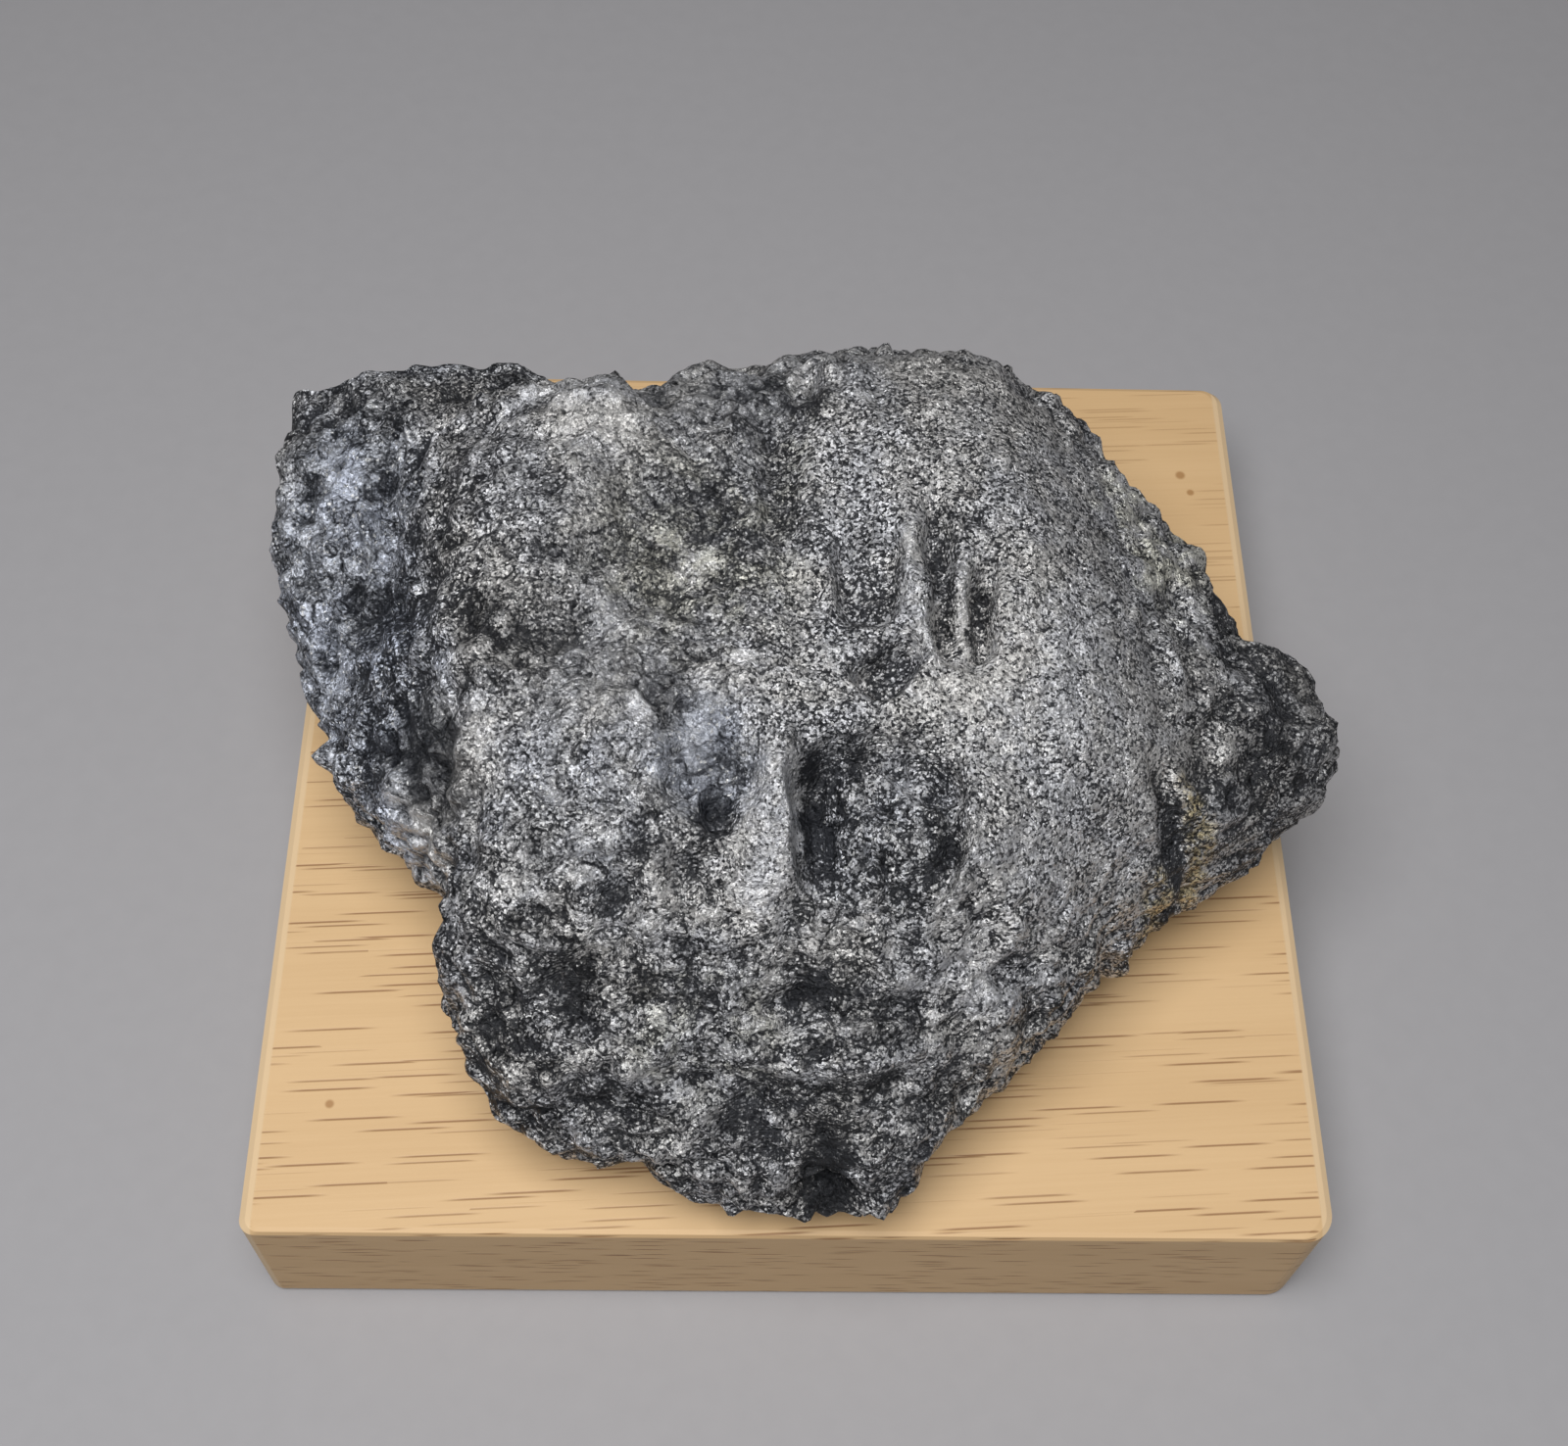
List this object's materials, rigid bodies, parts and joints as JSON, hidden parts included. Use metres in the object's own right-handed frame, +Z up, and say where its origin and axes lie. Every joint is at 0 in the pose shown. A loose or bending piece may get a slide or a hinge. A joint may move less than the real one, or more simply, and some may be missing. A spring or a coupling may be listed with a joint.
{
  "type": "gudmundite specimen on a display block",
  "caption": "Rough lump of dark metallic grey gudmundite ore with pits and ledges, lying on a plain square block of pale wood.",
  "frame": {"origin": "centre of the block's underside", "axes": "+Z up out of the block's top face, +X to the right along the wood's grain, +Y to the back, away from the viewer of the picture"},
  "size_m": [0.1026, 0.101, 0.0598],
  "materials": {
    "pale_wood": "bare sanded board, pale tan with fine dark pores along the grain and paler end-grain bevels",
    "gudmundite": "rough broken sulphide, dark metallic grey with fine glittering grains and a few olive stains"
  },
  "bodies": {
    "root": {"display_block": "pale_wood", "gudmundite_stone": "gudmundite"}
  },
  "joints": []
}
